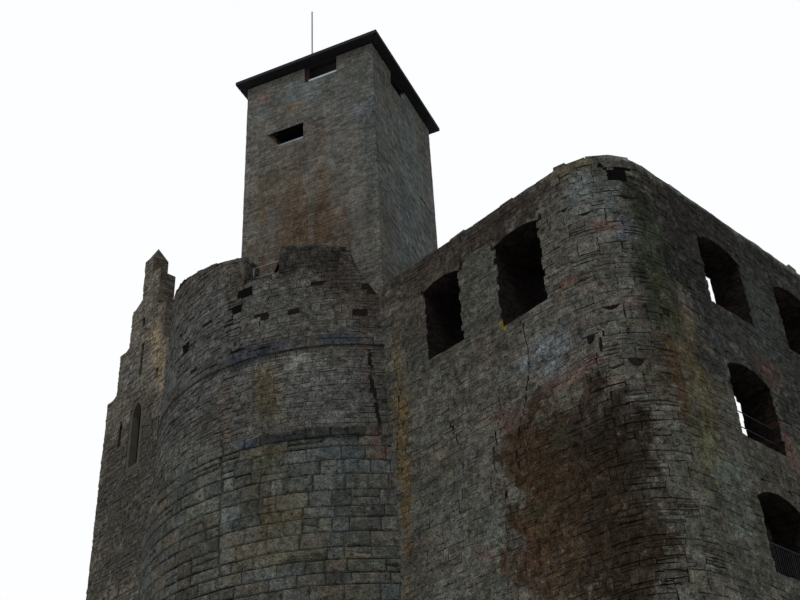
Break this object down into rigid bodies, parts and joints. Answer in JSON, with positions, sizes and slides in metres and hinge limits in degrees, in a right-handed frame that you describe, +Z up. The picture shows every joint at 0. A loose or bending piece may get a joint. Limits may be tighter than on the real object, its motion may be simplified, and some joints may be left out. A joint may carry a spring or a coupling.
{
  "type": "castle keep",
  "caption": "Square castle keep inside a round mantle wall, joined to a roofless rounded house with arched windows and a stepped-gable building.",
  "frame": {"origin": "middle of the footprint's box, at ground level", "axes": "+Z up, +X along the house's front wall to the right, +Y from the house towards the gable building"},
  "size_m": [23.1998, 28.22, 35.9],
  "materials": {
    "keep_stone": "coursed thin rubble of grey-brown sandstone with rusty streaks, matt",
    "mantle_stone": "coursed rubble of grey sandstone on a base of large blocks, matt",
    "house_stone": "coursed rubble of grey and red-brown sandstone, matt",
    "gable_stone": "lighter coursed rubble, matt",
    "pale_stone": "dressed pale sandstone, matt",
    "floor_stone": "stone slabs, matt",
    "timber": "weathered boards",
    "red_timber": "red-brown stained beams",
    "dark_boards": "dark stained boards",
    "roof_sheet": "dark grey standing seam sheet",
    "grey_steel": "galvanised",
    "dark_steel": "dark grey paint"
  },
  "bodies": {
    "root": {"keep_shaft_front": "keep_stone", "keep_shaft_right": "keep_stone", "keep_shaft_back": "keep_stone", "keep_shaft_left": "keep_stone", "keep_top_front": "keep_stone", "keep_top_right": "keep_stone", "keep_top_back": "keep_stone", "keep_top_left": "keep_stone", "keep_floors": "timber", "keep_sills": "pale_stone", "keep_lookout_posts": "red_timber", "keep_wall_plate": "red_timber", "keep_eaves_boards": "dark_boards", "keep_fascia": "dark_boards", "keep_roof": "roof_sheet", "keep_mast": "grey_steel", "mantle_wall_left": "mantle_stone", "mantle_wall_gap": "mantle_stone", "mantle_wall_front": "mantle_stone", "mantle_wall_broken": "mantle_stone", "mantle_wall_house": "mantle_stone", "mantle_wall_right": "mantle_stone", "mantle_wall_back": "mantle_stone", "mantle_wall_gable": "mantle_stone", "terrace_floor": "floor_stone", "terrace_gap_rail": "grey_steel", "house_front_corner": "house_stone", "house_left_wall": "house_stone", "house_front_bay_1": "house_stone", "house_front_bay_2": "house_stone", "house_front_bay_3": "house_stone", "house_end_corner": "house_stone", "house_end_wall": "house_stone", "house_back_bay_1": "house_stone", "house_back_bay_2": "house_stone", "house_ground_floor": "floor_stone", "house_window_rails": "dark_steel", "gable_front_wall": "gable_stone", "gable_front_steps": "gable_stone", "gable_lancet_frame": "pale_stone", "gable_outer_wall": "gable_stone", "gable_near_wall": "gable_stone", "gable_back_wall": "gable_stone", "gable_back_steps": "gable_stone", "gable_link_wall": "gable_stone"}
  },
  "joints": []
}
